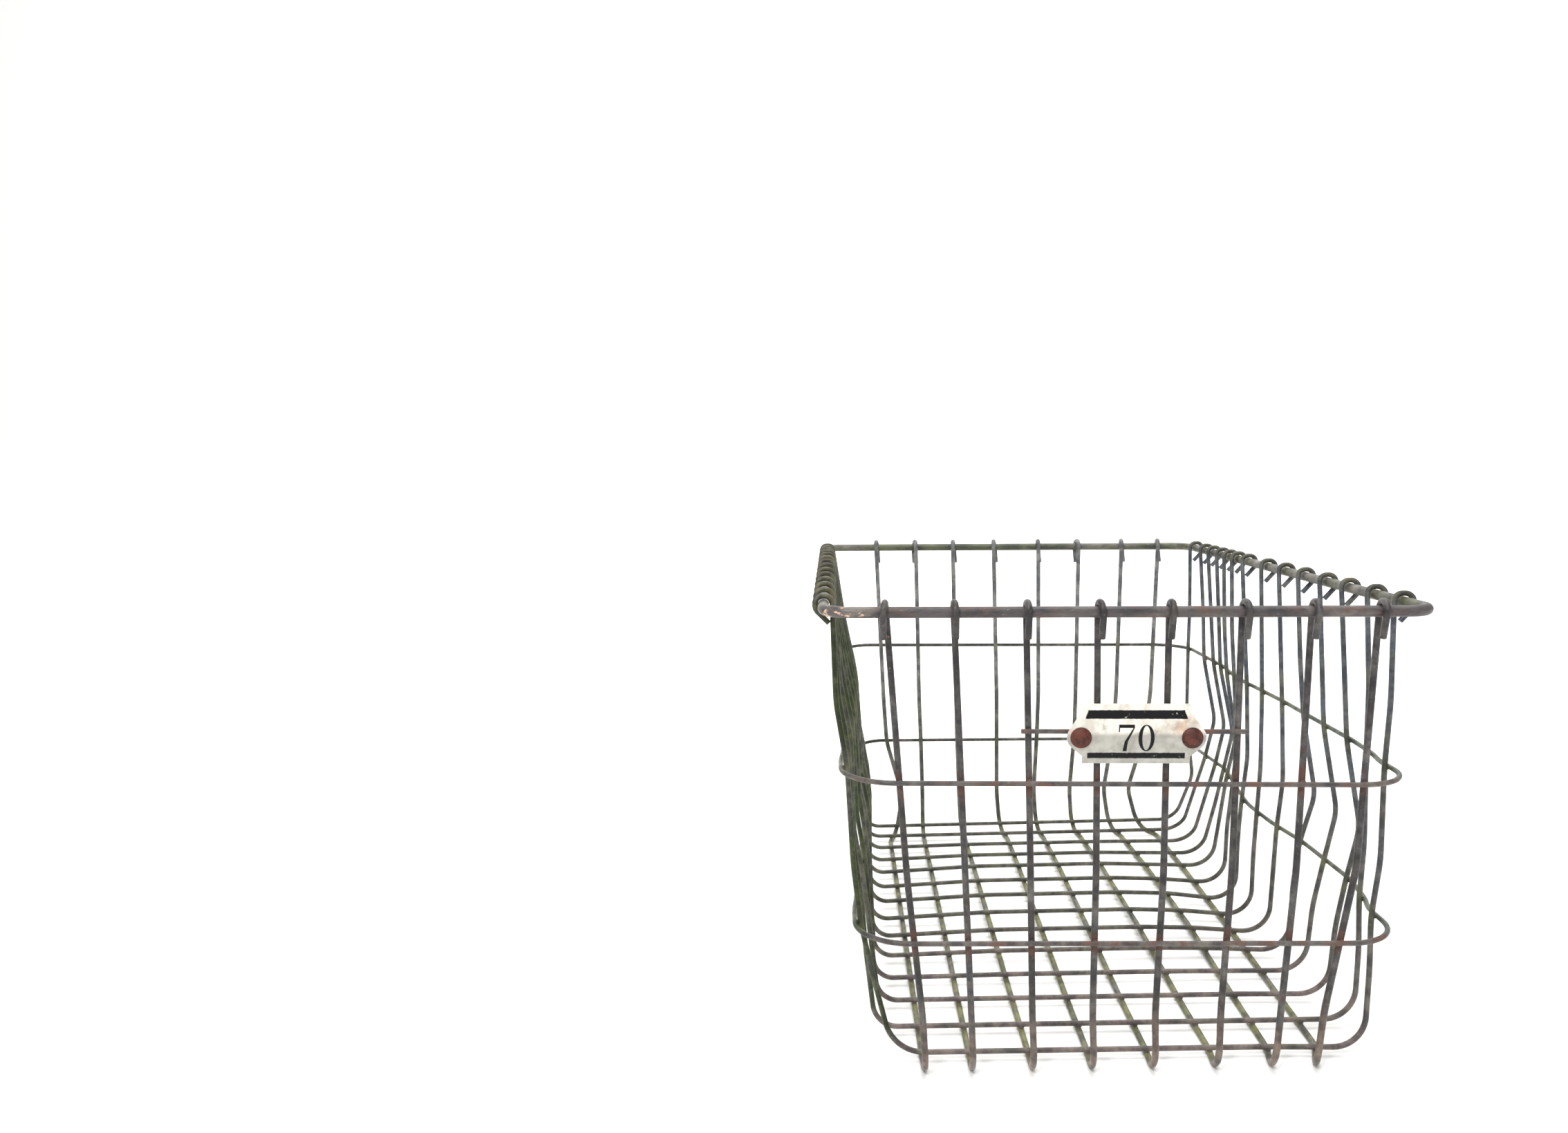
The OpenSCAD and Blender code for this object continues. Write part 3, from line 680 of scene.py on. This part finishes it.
# The seven: its bar, the drop at the bar's left end, and the stem, which swells down to a waist and a foot
sevenShares = {
    "bar": 0.85, "footWide": 1.05, "waistLeft": 0.05, "waistRight": 0.78,  # of the fat stroke
    "drop": 2.3,  # of the bar
    "dropLeft": 0.4, "dropRight": 1.4, "neck": 1.3,  # of the thin stroke
    "waist": 0.40, "foot": 0.26,  # of the width
    "waistHeight": 0.38,  # of the height
}


def addStroke(bm, corners):
    bm.faces.new([bm.verts.new((x, 0, z)) for x, z in corners])


def addSeven(bm, left, sizes, shares):
    fat, thin = sizes["fat"], sizes["thin"]
    bottom = sizes["middle"] - sizes["height"] / 2
    top = bottom + sizes["height"]
    right = left + sizes["width"]
    bar = fat * shares["bar"]
    dropEnd = top - shares["drop"] * bar
    addStroke(bm, [(left + thin, top - bar), (right, top - bar), (right, top), (left + thin, top)])
    addStroke(bm, [(left, dropEnd), (left + thin, dropEnd),
                   (left + thin * shares["dropRight"], top), (left + thin * shares["dropLeft"], top)])
    waistHeight = bottom + sizes["height"] * shares["waistHeight"]
    waist = left + sizes["width"] * shares["waist"]
    waistLeft = (waist - fat * shares["waistLeft"], waistHeight)
    waistRight = (waist + fat * shares["waistRight"], waistHeight)
    foot = left + sizes["width"] * shares["foot"]
    addStroke(bm, [waistLeft, waistRight, (right, top - bar), (right - thin * shares["neck"], top - bar)])
    addStroke(bm, [(foot, bottom), (foot + fat * shares["footWide"], bottom), waistRight, waistLeft])


def addNought(bm, left, sizes):
    # two ovals bridged: fat at the sides, thin at the top and the bottom
    centre = Matrix.Translation((left + sizes["width"] / 2, 0, sizes["middle"]))
    upright = Matrix.Rotation(math.pi / 2, 4, "X")
    rings = []
    for fat, thin in ((0, 0), (sizes["fat"], sizes["thin"])):
        shape = Matrix.Diagonal((sizes["width"] / 2 - fat, sizes["height"] / 2 - thin, 1, 1))
        ring = bmesh.ops.create_circle(bm, segments=sizes["ovalSides"], radius=1,
                                       matrix=centre @ upright @ shape)["verts"]
        rings += [edge for edge in bm.edges if all(v in ring for v in edge.verts)]
    bmesh.ops.bridge_loops(bm, edges=rings)


def makeNumber(sizes):
    bm = bmesh.new()
    addSeven(bm, -sizes["gap"] / 2 - sizes["width"], sizes, sevenShares)
    addNought(bm, sizes["gap"] / 2, sizes)
    onPlate = Matrix.Translation(plateMiddle) @ Matrix.Rotation(plateLean, 4, "Y")
    bmesh.ops.transform(bm, verts=bm.verts, matrix=onPlate)
    # cut into strips along the height, so that it can bend with the sheet
    for k in range(1, sizes["strips"]):
        z = plateMiddle.z + sizes["middle"] + sizes["height"] * (k / sizes["strips"] - 0.5)
        bmesh.ops.bisect_plane(bm, geom=bm.verts[:] + bm.edges[:] + bm.faces[:], plane_co=(0, 0, z),
                               plane_no=(0, 0, 1))
    bmesh.ops.triangulate(bm, faces=bm.faces[:])
    sheet = surfaceOf("number_plate")
    for vert in bm.verts:
        start = Vector((vert.co.x, cadLow.y - sizes["rayStart"], vert.co.z))
        hit = sheet.ray_cast(start, Vector((0, 1, 0)))[0]
        vert.co.y = hit.y - sizes["proud"]
    bmesh.ops.recalc_face_normals(bm, faces=bm.faces[:])
    if sum(face.normal.y for face in bm.faces) > 0:
        bmesh.ops.reverse_faces(bm, faces=bm.faces[:])
    return addPiece("plate_number", bm)


def makeInk(sizes, look):
    made, tree, shader, place = newMaterial("blackInk", sizes["specular"])
    fine = noise(tree, place, *sizes["fine"])
    tint = blendTones(tree, between(tree, fine, *sizes["wornLimits"]), look, "ink", "grime")
    rough = between(tree, fine, *sizes["shineLimits"], sizes["smooth"], sizes["dull"])
    finish(tree, shader, tint, rough, fine, sizes["depth"])
    return made


numberPiece = makeNumber(number)
numberPiece.data.materials.append(makeInk(number, plateLook))
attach(numberPiece, "root")
print("number made")


# Stage: a pale floor that curves up behind, soft light from above and in front
stage = {
    "half": 3.0, "back": 2.2, "bend": 0.8, "bendSteps": 16, "wall": 2.5, "tone": "f8f7f5", "roughness": 0.9,
    "roomTone": "ffffff", "roomLight": 0.65,
}


def growStrip(bm, edges, way):
    # a strip of faces from the edges, and the edges at its far side
    grown = bmesh.ops.extrude_edge_only(bm, edges=edges)["geom"]
    bmesh.ops.translate(bm, verts=[g for g in grown if isinstance(g, bmesh.types.BMVert)], vec=way)
    return [g for g in grown if isinstance(g, bmesh.types.BMEdge)]


def makeStage(sizes):
    bm = bmesh.new()
    half, back, bend = sizes["half"], sizes["back"], sizes["bend"]
    edge = bm.edges.new([bm.verts.new((x, -half, 0)) for x in (-half, half)])
    lip = growStrip(bm, [edge], (0, half + back, 0))
    bmesh.ops.spin(bm, geom=lip, axis=(1, 0, 0), cent=(0, back, bend), angle=math.pi / 2,
                   steps=sizes["bendSteps"])
    top = [e for e in bm.edges if all(abs(v.co.z - bend) < mm for v in e.verts)]
    growStrip(bm, top, (0, 0, sizes["wall"]))
    bmesh.ops.recalc_face_normals(bm, faces=bm.faces[:])
    smoothFaces(bm)
    made = addPiece("floor", bm)
    material = bpy.data.materials.new("paleFloor")
    material.use_nodes = True
    shader = material.node_tree.nodes["Principled BSDF"]
    shader.inputs["Base Color"].default_value = colour(sizes["tone"])
    shader.inputs["Roughness"].default_value = sizes["roughness"]
    made.data.materials.append(material)


def addLamp(name, place, aim, size, power):
    data = bpy.data.lights.new(name, "AREA")
    data.shape = "DISK"
    data.size = size
    data.energy = power
    made = bpy.data.objects.new(name, data)
    made.location = place
    made.rotation_euler = (Vector(aim) - Vector(place)).to_track_quat("-Z", "Y").to_euler()
    bpy.context.scene.collection.objects.link(made)


def lightRoom(sizes):
    world = bpy.data.worlds.new("softRoom")
    world.use_nodes = True
    background = world.node_tree.nodes["Background"]
    background.inputs["Color"].default_value = colour(sizes["roomTone"])
    background.inputs["Strength"].default_value = sizes["roomLight"]
    bpy.context.scene.world = world
    bpy.context.scene.view_settings.view_transform = "Standard"


lamps = {
    "overhead": {"place": (0.25, 0.1, 1.7), "aim": (0, 0, 0.08), "size": 1.6, "power": 20},
    "key": {"place": (-0.5, -1.2, 1.3), "aim": (0, 0, 0.08), "size": 0.35, "power": 15},
    "backdrop": {"place": (0, 0.9, 1.9), "aim": (0, 2.8, 0.9), "size": 1.2, "power": 75},
}
makeStage(stage)
for name, lamp in lamps.items():
    addLamp(name, lamp["place"], lamp["aim"], lamp["size"], lamp["power"])
lightRoom(stage)
print("stage lit")
